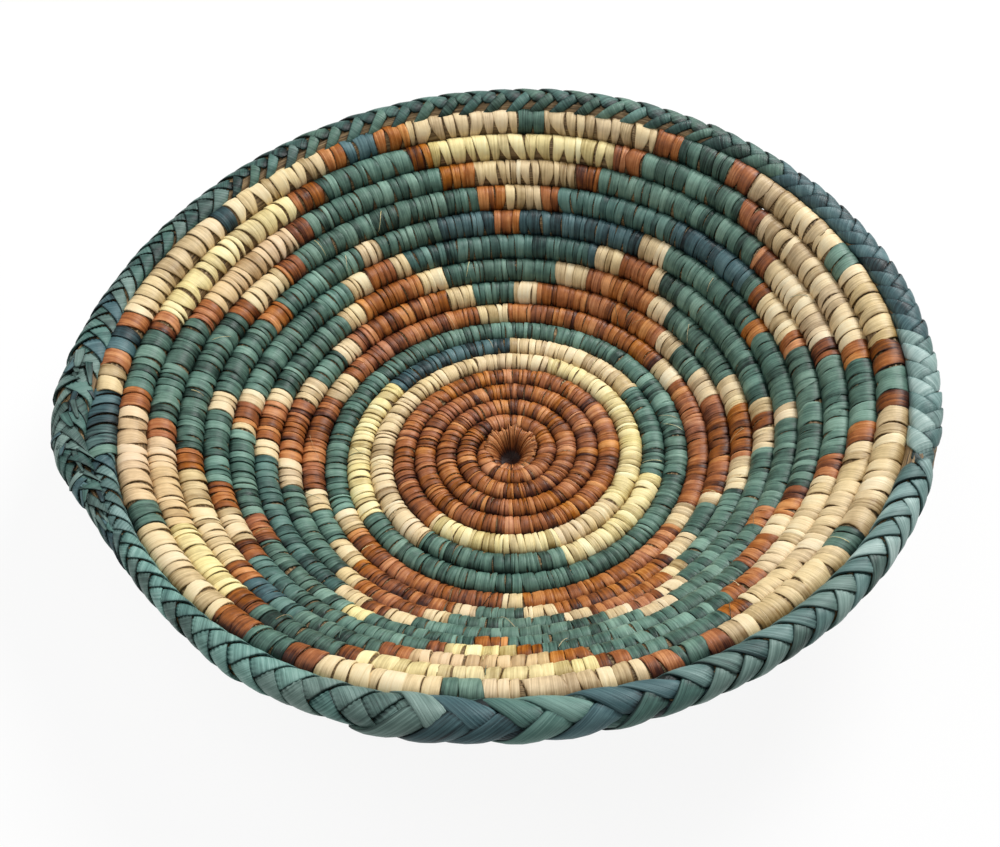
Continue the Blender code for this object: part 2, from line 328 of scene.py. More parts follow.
def wraps_of(number, rng):
    """Dye, middle turn and half width in turns of every wrap on one round."""
    found = []
    round_length = FULL_TURN * radius_of_round(number)
    usual = np.interp(number, ROUNDS_OF_WIDTHS, WRAP_WIDTHS)
    for dye, first, last in blocks_of(number):
        count = max(1, round((last - first) * round_length / usual))
        shares = np.clip(rng.lognormal(0.0, WIDTH_SPREAD, count), *WIDTH_LIMITS)
        edges = first + (last - first) * np.concatenate(((0.0,), np.cumsum(shares))) / shares.sum()
        found += [(dye, (near + far) / 2, (far - near) / 2) for near, far in zip(edges, edges[1:])]
    return found


def add_round_of_wraps(number, materials):
    """The strips on one round. Each is narrower at its inner edge, where it goes down between two rounds."""
    rng = np.random.default_rng(100 + number)
    wraps = wraps_of(number, rng)
    widths = coil_frames(np.array([wrap[1] for wrap in wraps]))[3] * 2
    wraps = [wrap for wrap, width in zip(wraps, widths) if width > LEAST_WRAP]
    count = len(wraps)
    column = (count, 1, 1)
    dyes = [DYE_LETTERS.index(wrap[0]) for wrap in wraps]
    middles = np.array([wrap[1] for wrap in wraps]).reshape(column)
    halves = np.array([wrap[2] for wrap in wraps]).reshape(column)
    pale = np.array([wrap[0] in PALE_DYES for wrap in wraps]).reshape(column)
    near_mouth = float(np.interp(number, MOUTH_ROUNDS, (0.0, 1.0)))
    places, heights = strip_section(
        NARROW_PLACES if number <= NARROW_ROUNDS else WIDE_PLACES, count, rng, EDGE_DROP
    )
    angles = np.linspace(0.0, FULL_TURN, WRAP_POINTS_ROUND, endpoint=False)[None, :, None]
    towards_centre = (1 - np.cos(angles)) / 2
    drawn_in = towards_centre ** (PINCH_POWER - MOUTH_PINCH_POWER_LESS * near_mouth)
    pinch = rng.uniform(*PINCH, column) + near_mouth * pale * rng.uniform(*PALE_PINCH_AT_MOUTH, column)
    cover = rng.uniform(*WRAP_COVER, column)
    slant = rng.normal(*WRAP_SLANT, column)
    lean = rng.normal(SHINGLE, SHINGLE_SPREAD, column)
    lift = rng.uniform(*WRAP_LIFT, column)
    width = halves * cover * (1 - pinch * drawn_in)
    curl = WRAP_CURL * rng.normal(0.0, 1.0, column) * np.cos(2 * angles)
    turns = middles + width * places[None, None, :] + halves * (slant * np.cos(angles) + curl)
    on_back = heights[:, None, :] > -STRIP_THICKNESS * 0.9
    rise = heights[:, None, :] + np.where(on_back, lift + lean * places[None, None, :], 0.0)
    waves = WRAP_WAVES * np.sin(3 * angles + rng.uniform(0.0, 6.0, column))
    rise = rise + waves - INNER_EDGE_SINKS * towards_centre**4
    turns, angles, rise = np.broadcast_arrays(turns, angles, rise)
    points = coil_surface(turns, angles, rise)
    attributes = {
        "across": turns * FULL_TURN * radius_of_round(number),
        "around": angles * pitch_at(number) / 2,
        # Painted shade along the strip's edges, less on the raised edge
        "edge": np.abs(places) * np.where(places > 0, RAISED_EDGE_SHADE, 1.0) * rng.uniform(*EDGE_SHADE_SPREAD, column),
        # Painted shade in the grooves between two rounds, less on the wall
        "painted_shade": np.abs(np.cos(angles)) ** 5 * np.interp(number, WALL_ROUNDS, (1.0, WALL_PAINTED_SHADE)),
        "tone": np.clip(rng.normal(0.0, 1.0, column), *TONE_LIMITS),
        "seed": rng.uniform(0.0, 100.0, column),
        "drift": unsteady(middles * 5.0, number * 1.3, 1.0),
    }
    obj = make_strips(f"leaf_wraps_{number:02d}", points, attributes, dyes, materials, closed_round=True)
    keep_piece(obj, usual_slot(dyes), f"wrap_round_{number:02d}")


def add_straw_coil(made):
    """The bundle inside the wraps, ribbed lengthwise as loose straws are."""
    turns = np.concatenate([np.linspace(n, n + 1, 30 + 6 * n, endpoint=False) for n in range(ROUNDS)])
    turns = turns[(turns > STRAW_STARTS) & (turns < STRAW_ENDS)]
    angles = np.linspace(0.0, FULL_TURN, COIL_STALKS * 2, endpoint=False)
    grid_turns, grid_angles = np.meshgrid(turns, angles, indexing="ij")
    half = coil_frames(turns)[3][:, None]
    ribs = COIL_RIBS * np.cos(COIL_STALKS * (grid_angles + unsteady(grid_turns, 5.0, 0.25)))
    lift = -half * (1 - STRAW_SHARE) + ribs + unsteady(grid_turns * 3 + grid_angles, 7.0, 0.0001)
    points = coil_surface(grid_turns, grid_angles, lift)
    attributes = {"across": grid_angles[None] * 0.004, "around": grid_turns[None] * 0.4}
    obj = make_strips("straw_coil", points[None], attributes, [0], [made], closed_round=False)
    keep_piece(obj, "straw", "foundation_coil")


# The pleated funnel in the hole where the coil starts. Offsets are from the hole's edge, outwards
FUNNEL_PLEATS = 25
FUNNEL_POINTS = 300
FUNNEL_OFFSETS = (0.0031, 0.0022, 0.0010, -0.0002, -0.0010, -0.0018, -0.0026, -0.0033, -0.0200)
FUNNEL_FAR_HEIGHTS = (0.0078, 0.0077, 0.0072, 0.0062, 0.0050, 0.0036, 0.0022, 0.0010, 0.0007)
FUNNEL_NEAR_HEIGHTS = (0.0030, 0.0030, 0.0030, 0.0029, 0.0027, 0.0024, 0.0018, 0.0011, 0.0007)
FUNNEL_PLEAT_DEPTH = 0.0012
NEAR_LIP_SHARE = 0.5
FUNNEL_THICKNESS = 0.0004
FUNNEL_FRAY = 0.0027
FUNNEL_FRAY_OUTWARDS = 0.0008
FUNNEL_LOWEST = 0.0002


def add_centre_funnel(materials):
    """Leaf ends drawn over the first round and down into the hole in pleats. The far lip is frayed."""
    rng = np.random.default_rng(7)
    azimuths = np.linspace(0.0, FULL_TURN, FUNNEL_POINTS, endpoint=False)
    past_start = ((azimuths - START_AZIMUTH) / FULL_TURN) % 1.0
    hole_edge = seam_points(past_start - 0.5, azimuths)[:, :2] - np.array(HOLE_AT)
    hole_radius = np.linalg.norm(hole_edge, axis=1)[:, None]
    far_side = ease(0.55 + 0.75 * np.sin(azimuths + 0.1))[:, None]
    pleat_angle = FUNNEL_PLEATS * azimuths / 2 + unsteady(azimuths * 3, 4.0, 2.2)
    pleat = np.abs(np.cos(pleat_angle))[:, None]
    fray = np.repeat(rng.uniform(0.0, 1.0, FUNNEL_POINTS // 4), 4) * rng.uniform(0.7, 1.0, FUNNEL_POINTS)
    offsets = np.array(FUNNEL_OFFSETS)[None, :]
    height_share = np.array(FUNNEL_FAR_HEIGHTS)[None, :] / max(FUNNEL_FAR_HEIGHTS)
    top = far_side * np.array(FUNNEL_FAR_HEIGHTS) + (1 - far_side) * np.array(FUNNEL_NEAR_HEIGHTS)
    relief = FUNNEL_PLEAT_DEPTH * (pleat - 0.7) * height_share**1.5
    top = top + relief * 0.7
    top[:, 0] += FUNNEL_FRAY * (fray - 0.4) * far_side[:, 0]
    lip_share = np.where(offsets > 0, NEAR_LIP_SHARE + (1 - NEAR_LIP_SHARE) * far_side, 1.0)
    widths = np.maximum(hole_radius + offsets * lip_share - relief, 0.00002)
    widths[:, 0] += FUNNEL_FRAY_OUTWARDS * fray * far_side[:, 0]
    radii = np.concatenate((widths, widths[:, ::-1] + 0.0002), axis=1)
    heights = np.concatenate((top, top[:, ::-1] - FUNNEL_THICKNESS), axis=1)
    x = HOLE_AT[0] + radii * np.cos(azimuths)[:, None]
    y = HOLE_AT[1] + radii * np.sin(azimuths)[:, None]
    points = np.stack((x, y, np.maximum(heights, FUNNEL_LOWEST)), axis=-1)
    depth = 1 - np.concatenate((height_share, height_share[:, ::-1]), axis=1)[None]
    attributes = {
        "across": azimuths[None, :, None] * 0.008,
        "around": depth * 0.008,
        # Painted shade in the grooves between pleats
        "edge": (1 - pleat)[None] ** 0.22,
        # Painted shade, stronger deeper down in the hole
        "painted_shade": depth**2 * 1.7,
        "tone": 1.4 + unsteady(azimuths * 9, 1.0, 2.4)[None, :, None],
        "seed": np.full((1, 1, 1), 5.0),
    }
    obj = make_strips("centre_funnel", points[None], attributes, [0], materials, closed_round=True)
    keep_piece(obj, "rust_leaf")


# The braid. It starts inside its own end and laps it, so its azimuths run past a full turn
RUN_ENDS = tuple(math.radians(a) for a in (18.0, 58.0, 101.0, 143.0, 192.0, 236.0, 285.0, 330.0))
RIM_RADIUS = 0.142
BRAID_STARTS = math.radians(179.0)
BANDS_END = math.radians(193.0)
BRAID_ENDS = math.radians(571.0)
FIRST_STRIP_UNDER_BANDS = math.radians(4.0)
LAST_STRIP_FROM_END = math.radians(2.0)
END_TAPER = math.radians(22.0)
END_SHARE = 0.45
END_DRAWN_OUT = 0.4
BRAID_HALF_WIDTH = 0.0050
BRAID_HALF_HEIGHT = 0.0036
BRAID_INWARDS = 0.0002
BRAID_ARC = 0.0044
BRAID_STRAW_SHARE = 0.85
RIM_STALKS = 13
RIM_RIBS = 0.0002
RIM_STRAW_POINTS = 400
FULLER_STRAW = 0.03
FULLER_STRAW_AT = (400, 412, 490, 502)
ROUGH_JOIN = (526, 538, 560, 573)
# Degrees where a change starts, is full, starts to fade and ends; then mm outwards, wider and higher
RIM_CHANGES = (
    ((177, 178, 190, 196), (0.1, 0.5, 0.8)),
    ((188, 204, 224, 238), (-1.2, -1.2, -0.3)),
    ((395, 425, 480, 515), (-2.2, 1.8, 1.8)),
    ((518, 530, 541, 550), (-1.0, 1.5, 0.0)),
    ((531, 546, 550, 565), (4.0, 0.4, 0.0)),
)
NEAR_TIP_POINTS = 21
TO_END_POINTS = 11
RIDGE_AT = math.radians(84.0)
RIDGE_SWING_FAR = math.radians(15.0)
RIDGE_SWING_NEAR = math.radians(18.0)
# One strip of the braid: its crown, how far it reaches past the ridge and round the rim, and its overlaps
CROWN = 0.00055
CROWN_SPACING = 0.008
CROWN_FALL = 0.94
TIP_REACH = 0.45
BARE_TIP_REACH = 0.18
BEYOND_RIDGE = 0.60
OUTER_REACH = math.radians(160.0)
INNER_REACH = math.radians(205.0)
SLANT_ENDS = 1.9
BRAID_COVER = (0.98, 1.12)
BARE_COVER = 0.60
ROUGH_COVER = 0.12
DIVE_MARGIN = 0.0005
DIVE_LENGTH = 0.0011
BRAID_SHINGLE = 0.00040
BRAID_LIFT = (-0.0001, 0.0002)
ROUGH_LIFT = (-0.0002, 0.0005)
# Painted shade where a strip's tip dives under the next strip, and on its inner end
DIVE_PAINTED_SHADE = 0.7
INNER_END_PAINTED_SHADE = 0.5
TIP_DIVES = 0.0010
INNER_ENDS_SINK = 0.0008
# Painted shade along the braid strips' edges
BRAID_EDGE_SHADE = 0.95
# Between these azimuths the strips lead forward, and elsewhere backward
LEADS_FORWARD = (math.radians(259.0), math.radians(336.0))
TURN_OVERLAP = 0.026
OVERLAP_RISE = 0.0009
# Painted shade over the braid's far side
FAR_BRAID_PAINTED_SHADE = 0.6
STRAW_SHOWS = (math.radians(48.0), math.radians(135.0))
# Degrees along the braid, mm from strip to strip, and the strips' lean in degrees
STRIPS_LIE = (
    (193, 6.2, 48),
    (212, 7.5, 48),
    (230, 8.6, 48),
    (248, 9.6, 48),
    (258, 10.5, 50),
    (261, 13.6, 61),
    (281, 13.2, 61),
    (288, 10.0, 54),
    (295, 8.9, 50),
    (335, 7.9, 47),
    (360, 7.4, 46),
    (392, 8.0, 48),
    (420, 10.3, 54),
    (470, 10.3, 54),
    (495, 8.0, 50),
    (505, 6.6, 50),
    (571, 6.2, 47),
)
BRAID_DYES = (
    (206, "NBB"),
    (212, "BSS"),
    (244, "SSSG"),
    (262, "GGGS"),
    (290, "NDN"),
    (318, "BBG"),
    (340, "LLB"),
    (355, "LLB"),
    (393, "NNN"),
    (480, "TDTD"),
    (515, "TDGD"),
    (572, "DGNDG"),
)


def within(azimuth, limits):
    return limits[0] <= azimuth % FULL_TURN < limits[1]


def stretch(azimuths, limits):
    """1 on a stretch of the rim and 0 off it, with soft ends. Limits are in degrees."""
    degrees = np.degrees(azimuths)
    rise = (degrees - limits[0]) / (limits[1] - limits[0])
    fall = (limits[3] - degrees) / (limits[3] - limits[2])
    return ease(np.minimum(rise, fall))


def rim_surface(azimuths, angles, lift):
    """Points on the braid's section, at an angle round it from its outer side over the top."""
    turns = ROUNDS - 1 + (azimuths - START_AZIMUTH) / FULL_TURN
    edge = seam_points(outer_seam(turns), azimuths)
    outwards, wider, higher = sum(
        stretch(azimuths, limits) * np.array(change).reshape((3,) + (1,) * np.ndim(azimuths)) / 1000
        for limits, change in RIM_CHANGES
    )
    ends = END_SHARE + (1 - END_SHARE) * ease((BRAID_ENDS - azimuths) / END_TAPER)
    outwards = outwards + (1 - ends) * BRAID_HALF_WIDTH * END_DRAWN_OUT
    reach = BRAID_WIDTH / 2 + BRAID_SEAT_GAP - BRAID_INWARDS + outwards
    sideways = reach + (BRAID_HALF_WIDTH + wider) * ends * np.cos(angles) + lift * np.cos(angles)
    points = np.empty(np.shape(azimuths) + (3,))
    points[..., 0] = edge[..., 0] + sideways * np.cos(azimuths)
    points[..., 1] = edge[..., 1] + sideways * np.sin(azimuths)
    half_height = (BRAID_HALF_HEIGHT + higher) * ends
    points[..., 2] = edge[..., 2] + (half_height + lift) * np.sin(angles)
    return points


def braid_strips():
    """The azimuth, spacing, lean and side of each strip of the herringbone, in the order they are laid."""
    degrees, spacings, leans = zip(*STRIPS_LIE)
    azimuth = BANDS_END - FIRST_STRIP_UNDER_BANDS
    found = []
    while azimuth < BRAID_ENDS - LAST_STRIP_FROM_END:
        spacing = np.interp(math.degrees(azimuth), degrees, spacings) / 1000
        lean = math.radians(np.interp(math.degrees(azimuth), degrees, leans))
        found.append((azimuth, spacing, lean, 1.0))
        found.append((azimuth + spacing / 2 / RIM_RADIUS, spacing, lean, -1.0))
        azimuth += spacing / RIM_RADIUS
    return found


def braid_dye(azimuth, rng):
    letters = next(letters for until, letters in BRAID_DYES if math.degrees(azimuth) < until + 1)
    return letters[rng.integers(len(letters))]


def add_braid_run(number, strips, materials):
    """One run of the herringbone. A strip comes over the edge to the ridge, and its tip dives under the
    next strip from the other side, so the ridge is a zigzag."""
    rng = np.random.default_rng(500 + number)
    count = len(strips)
    column = (count, 1, 1)
    azimuths, spacing, leans, outside = [np.array(part).reshape(column) for part in zip(*strips)]
    lead = np.array([1.0 if within(s[0], LEADS_FORWARD) else -1.0 for s in strips]).reshape(column)
    bare = np.array([within(s[0], STRAW_SHOWS) for s in strips]).reshape(column)
    rough = stretch(azimuths, ROUGH_JOIN)
    swing = np.where(np.sin(azimuths) > 0, RIDGE_SWING_FAR, RIDGE_SWING_NEAR) * np.sin(azimuths)
    ridge = RIDGE_AT + swing + rng.normal(0.0, 0.04, column) * (1 + 3 * rough)
    places, heights = strip_section(WIDE_PLACES, count, rng, 0.0)
    places = places[None, None, :]
    on_back = np.arange(places.shape[2])[None, None, :] < len(WIDE_PLACES)
    crown = CROWN * (spacing / CROWN_SPACING) ** 2.0 * np.sqrt(1 - CROWN_FALL * places**2)
    tip = -np.where(bare, BARE_TIP_REACH, TIP_REACH) * spacing / BRAID_ARC
    beyond_ridge = BEYOND_RIDGE * spacing / BRAID_ARC
    reach = np.where(outside > 0, ridge + OUTER_REACH, INNER_REACH - ridge)
    near_tip = np.linspace(0.0, 1.0, NEAR_TIP_POINTS)[None, :, None]
    to_end = np.linspace(0.0, 1.0, TO_END_POINTS + 1)[None, 1:, None]
    from_ridge = np.concatenate(
        (tip + (beyond_ridge - tip) * near_tip, beyond_ridge + (reach - beyond_ridge) * to_end), axis=1
    )
    angles = ridge - outside * from_ridge
    slope = np.tan(leans + rng.normal(0.0, 0.04, column) * (1 + 4 * rough))
    slanted = np.minimum(from_ridge, SLANT_ENDS) * BRAID_ARC * slope
    cover = np.where(bare & (outside < 0), BARE_COVER, rng.uniform(*BRAID_COVER, column))
    cover = cover + ROUGH_COVER * rough
    half = spacing * cover / 2
    offset = -lead * slanted + half * places
    forwards = lead * places
    covered_below = (half * (1 + forwards) - spacing / 2) / (2 * slope)
    dive = ease((covered_below + DIVE_MARGIN - from_ridge * BRAID_ARC) / DIVE_LENGTH)
    past_ridge = ease((from_ridge - 0.9) / 0.8)
    shingle = -BRAID_SHINGLE * forwards * (1 - 0.7 * past_ridge)
    back = crown + heights[:, None, :]
    past_turn = (azimuths % FULL_TURN - LEADS_FORWARD[0]) * RIM_RADIUS / TURN_OVERLAP
    laps = OVERLAP_RISE * np.where(past_turn >= 0, ease(1 - past_turn), 0.0)
    lift = np.where(on_back, back, -STRIP_THICKNESS) + shingle + laps - TIP_DIVES * dive
    lift = lift - INNER_ENDS_SINK * past_ridge * (outside < 0)
    lift = lift + rng.uniform(*BRAID_LIFT, column) + rough * rng.uniform(*ROUGH_LIFT, column)
    grid_azimuths, angles, lift = np.broadcast_arrays(azimuths + offset / RIM_RADIUS, angles, lift)
    points = rim_surface(grid_azimuths, angles, lift)
    dyes = [DYE_LETTERS.index(braid_dye(s[0], rng)) for s in strips]
    inner_end = ease((from_ridge - 1.5) / 0.8) * (outside < 0)
    attributes = {
        "across": offset + slanted,
        "around": angles * BRAID_ARC,
        # Painted shade along each strip's edges
        "edge": np.abs(places) * BRAID_EDGE_SHADE * rng.uniform(*EDGE_SHADE_SPREAD, column) ** 0.6,
        # Painted shade where the tip dives under the next strip and on the inner end
        "painted_shade": np.clip(DIVE_PAINTED_SHADE * dive + INNER_END_PAINTED_SHADE * inner_end, 0.0, 1.0),
        # Random tone, less the painted shade over the braid's far side
        "tone": rng.normal(0.0, 0.8, column) - FAR_BRAID_PAINTED_SHADE * ease(np.sin(azimuths)),
        "seed": rng.uniform(0.0, 100.0, column),
        "drift": unsteady(azimuths * 3.0, 2.0, 0.5) + rng.normal(0.0, 0.2, column),
    }
    obj = make_strips(f"braid_strips_{number:02d}", points, attributes, dyes, materials, closed_round=False)
    keep_piece(obj, usual_slot(dyes), f"rim_braid_{number:02d}")


def add_braid(materials):
    strips = braid_strips()
    ends = RUN_ENDS + (RUN_ENDS[0] + FULL_TURN,)
    for number, (first, last) in enumerate(zip(ends, ends[1:]), start=1):
        inside = [s for s in strips if (s[0] - first) % FULL_TURN < last - first]
        add_braid_run(number, inside, materials)


# The flat bands at the coil's tail. The slant is mean and spread, as a share of a band's width
TAIL_BAND_DYES = "NNNNBBT"
BAND_COVER = 0.90
BAND_RISE = 0.0006
BAND_SLANT = (0.30, 0.06)
BAND_WIDTHS = (0.9, 1.15)
BAND_LIFT = (0.0, 0.0002)


def add_tail_bands(materials):
    """Flat strips wound round the coil's thin end and the start of the braid, with gaps between."""
    rng = np.random.default_rng(31)
    count = len(TAIL_BAND_DYES)
    column = (count, 1, 1)
    step = (BANDS_END - BRAID_STARTS) / count
    middles = BRAID_STARTS + step * (np.arange(count) + 0.7).reshape(column)
    places, heights = strip_section(WIDE_PLACES, count, rng, EDGE_DROP)
    angles = np.linspace(0.0, FULL_TURN, WRAP_POINTS_ROUND + 6, endpoint=False)[None, :, None]
    half = step / 2 * BAND_COVER * rng.uniform(*BAND_WIDTHS, column)
    slant = step * rng.normal(*BAND_SLANT, column) * np.cos(angles)
    azimuths = middles + half * places[None, None, :] + slant
    lift = heights[:, None, :] + BAND_RISE + rng.uniform(*BAND_LIFT, column)
    azimuths, angles, lift = np.broadcast_arrays(azimuths, angles, lift)
    points = rim_surface(azimuths, angles, lift)
    dyes = [DYE_LETTERS.index(letter) for letter in TAIL_BAND_DYES]
    attributes = {
        "across": azimuths * RIM_RADIUS,
        "around": angles * BRAID_ARC,
        # Painted shade along each band's edges
        "edge": np.abs(places)[None, None, :],
        # Painted shade on the outer and inner sides of the section
        "painted_shade": np.abs(np.cos(angles)) ** 7,
        "tone": rng.normal(-0.3, 0.7, column),
        "seed": rng.uniform(0.0, 100.0, column),
    }
    obj = make_strips("tail_bands", points, attributes, dyes, materials, closed_round=True)
    keep_piece(obj, "navy_leaf")


# The torn ends at the rough join
RAGGED_ENDS = 20
RAGGED_FROM = math.radians(527.0)
RAGGED_TO = math.radians(565.0)
RAGGED_DYES = "GNNGD"
RAGGED_POINTS = 9
RAGGED_LENGTH = (0.005, 0.010)
RAGGED_HALF_WIDTH = (0.0006, 0.0012)
RAGGED_TURNED = 0.55
RAGGED_PLACES = (math.radians(55.0), math.radians(140.0))
RAGGED_STANDS_OFF = 0.0008
RAGGED_END_RISES = (-0.0002, 0.0016)


def add_ragged_ends(materials):
    """Torn leaf ends at the rough join. Their free ends stand off the braid, each in its own way."""
    rng = np.random.default_rng(41)
    column = (RAGGED_ENDS, 1, 1)
    along = np.linspace(0.0, 1.0, RAGGED_POINTS)[None, :, None]
    places, heights = strip_section(NARROW_PLACES, RAGGED_ENDS, rng, 0.0)
    length = rng.uniform(*RAGGED_LENGTH, column)
    half = rng.uniform(*RAGGED_HALF_WIDTH, column) * (1 - 0.6 * along**2)
    turned = rng.normal(0.0, RAGGED_TURNED, column)
    forwards = length * along * np.cos(turned) - half * places * np.sin(turned)
    sideways = length * along * np.sin(turned) + half * places * np.cos(turned)
    azimuths = rng.uniform(RAGGED_FROM, RAGGED_TO, column) + forwards / RIM_RADIUS
    angles = rng.uniform(*RAGGED_PLACES, column) + sideways / BRAID_ARC
    stand_off = RAGGED_STANDS_OFF + rng.uniform(*RAGGED_END_RISES, column) * along**2
    azimuths, angles, lift = np.broadcast_arrays(azimuths, angles, heights[:, None, :] + stand_off)
    points = rim_surface(azimuths, angles, lift)
    dyes = [DYE_LETTERS.index(RAGGED_DYES[n]) for n in rng.integers(0, len(RAGGED_DYES), RAGGED_ENDS)]
    attributes = {
        "across": half * places,
        "around": length * along,
        # Painted shade along each end's edges
        "edge": np.abs(places)[None, None, :],
        "painted_shade": np.zeros((1, 1, 1)),
        "tone": rng.normal(-0.2, 0.9, column),
        "seed": rng.uniform(0.0, 100.0, column),
    }
    obj = make_strips("ragged_ends", points, attributes, dyes, materials, closed_round=False)
    keep_piece(obj, "navy_leaf")


def add_rim_straw(made):
    """The straw bundle under the braid, which shows where the strips leave gaps."""
    azimuths = np.linspace(BRAID_STARTS, BRAID_ENDS, RIM_STRAW_POINTS)
    angles = np.linspace(0.0, FULL_TURN, RIM_STALKS * 2, endpoint=False)
    grid_azimuths, grid_angles = np.meshgrid(azimuths, angles, indexing="ij")
    ribs = RIM_RIBS * np.cos(RIM_STALKS * (grid_angles + unsteady(grid_azimuths * 2, 3.0, 0.3)))
    share = BRAID_STRAW_SHARE + FULLER_STRAW * stretch(grid_azimuths, FULLER_STRAW_AT)
    lift = -BRAID_HALF_HEIGHT * (1 - share) + ribs
    points = rim_surface(grid_azimuths, grid_angles, lift)
    attributes = {"across": grid_angles[None] * BRAID_ARC, "around": grid_azimuths[None] * RIM_RADIUS}
    obj = make_strips("rim_straw", points[None], attributes, [0], [made], closed_round=False)
    keep_piece(obj, "straw", "rim_core")


# The loose splinters
FIBRES = 60
FIBRE_POINTS = 9
FIBRE_HALF_WIDTH = 0.00014
FIBRE_HALF_THICKNESS = 0.00007
FIBRE_DRIFT = 0.0035
FIBRE_STARTS = (0.5, 1.1)
FIBRE_SPAN = (0.8, 1.6)
FIBRE_RISE = 0.0004
FIBRE_ARCH = (0.0, 0.0005)
FIBRE_DYES = "CYT"


def add_loose_fibres(materials):
    """Thin splinters of leaf that have come loose and lie across the strips."""
    rng = np.random.default_rng(77)
    column = (FIBRES, 1, 1)
    starts = rng.uniform(5.0, ROUNDS - 0.5, column)
    along = np.linspace(0.0, 1.0, FIBRE_POINTS)[None, :, None]
    radii = np.interp(starts, TURNS, RADII)
    drift = rng.normal(0.0, FIBRE_DRIFT, column) / (FULL_TURN * radii)
    angles = rng.uniform(*FIBRE_STARTS, column) + rng.uniform(*FIBRE_SPAN, column) * along
    arch = FIBRE_RISE + rng.uniform(*FIBRE_ARCH, column) * np.sin(math.pi * along)
    section = np.array([0.0, 0.5, 1.0, 1.5]) * math.pi
    taper = 1 - 0.6 * along
    sideways = FIBRE_HALF_WIDTH * np.cos(section)[None, None, :] * taper
    turns = starts + drift * along + sideways / (FULL_TURN * radii)
    lift = arch + FIBRE_HALF_THICKNESS * np.sin(section)[None, None, :]
    turns, angles, lift = np.broadcast_arrays(turns, angles, lift)
    points = coil_surface(turns, angles, lift)
    dyes = [DYE_LETTERS.index(FIBRE_DYES[n]) for n in rng.integers(0, len(FIBRE_DYES), FIBRES)]
    attributes = {
        "across": turns,
        "around": angles * 0.004,
        "edge": np.zeros((1, 1, 1)),
        "painted_shade": np.zeros((1, 1, 1)),
        "tone": rng.normal(0.0, 1.0, column),
        "seed": rng.uniform(0.0, 100.0, column),
    }
    obj = make_strips("loose_fibres", points, attributes, dyes, materials, closed_round=False)
    keep_piece(obj, "cream_leaf")


class Finish:
    """A material while its nodes are being added and joined."""

    def __init__(self, name):
        self.material = bpy.data.materials.new(name)
        self.material.use_nodes = True
        self.tree = self.material.node_tree
        self.shader = self.tree.nodes["Principled BSDF"]

    def node(self, kind, inputs, **settings):
        """Adds a node. Each input is a number, a colour or another node's output."""
        made = self.tree.nodes.new(kind)
        for key, value in settings.items():
            setattr(made, key, value)
        for key, value in inputs.items():
            self.join(made.inputs[key], value)
        return made.outputs

    def join(self, socket, value):
        if isinstance(value, bpy.types.NodeSocket):
            self.tree.links.new(value, socket)
        else:
            socket.default_value = value

    def value(self, name):
        return self.node("ShaderNodeAttribute", {}, attribute_name=name)["Fac"]

    def calc(self, operation, first, second=0.0, third=0.0):
        return self.node("ShaderNodeMath", {0: first, 1: second, 2: third}, operation=operation)["Value"]

    def noise(self, vector, detail, roughness):
        inputs = {"Vector": vector, "Scale": 1.0, "Detail": detail, "Roughness": roughness}
        return self.node("ShaderNodeTexNoise", inputs)["Fac"]

    def vector(self, x, y, z):
        return self.node("ShaderNodeCombineXYZ", {"X": x, "Y": y, "Z": z})["Vector"]

    def strip_noise(self, per_metre_across, per_metre_around, shift, detail, roughness):
        """Noise in a strip's own directions, another on every strip."""
        across = self.calc("MULTIPLY", self.value("across"), per_metre_across)
        around = self.calc("MULTIPLY", self.value("around"), per_metre_around)
        seed = self.calc("ADD", self.value("seed"), shift)
        return self.noise(self.vector(across, around, seed), detail, roughness)

    def ramp(self, factor, stops):
        """A colour ramp through (place, colour) stops."""
        made = self.tree.nodes.new("ShaderNodeValToRGB")
        elements = made.color_ramp.elements
        while len(elements) < len(stops):
            elements.new(0.5)
        for element, (place, colour) in zip(elements, stops):
            element.position = place
            element.color = (*colour, 1.0)
        self.join(made.inputs["Fac"], factor)
        return made.outputs["Color"]

    def bump(self, height, strength, distance):
        """Fine relief, with its full height in metres."""
        inputs = {"Strength": strength, "Distance": distance, "Height": height}
        self.join(self.shader.inputs["Normal"], self.node("ShaderNodeBump", inputs)["Normal"])


# Noise per metre across and along a strip, then how much each part of the look weighs
VEINS = (2800.0, 80.0)
FOLDS = (1100.0, 25.0)
BLOTCHES = (170.0, 170.0)
VEINS_WEIGH = 0.55
FOLDS_WEIGH = 0.54
BLOTCHES_WEIGH = 0.60
TONE_WEIGHS = 0.13
# Painted shade: along the strips' edges, in the grooves and under other strips, and its share on the wall
# rounds
EDGE_SHADE_WEIGHS = -0.92
PAINTED_SHADE_WEIGHS = -0.54
WALL_PAINTED_SHADE = 0.6
PALE_SHARE = 0.58
DRIFT_OF_HUE = 0.014
DRIFT_OF_WARM_HUE = 0.006
DRIFT_OF_SATURATION = 0.10
SATURATION = 1.03
# How narrow the painted shade along the edges is
EDGE_SHADE_POWER = 11.0
LEAF_RAMP = (0.0, 0.19, 0.52, 0.88)
LEAF_ROUGHNESS = 0.34
LEAF_ROUGHNESS_VARIES = 0.24
LEAF_SPECULAR = 0.30
LEAF_BUMP = (0.6, 0.00022)
STRAW_ROUGHNESS = 0.62
STRAW_BUMP = (0.7, 0.0003)


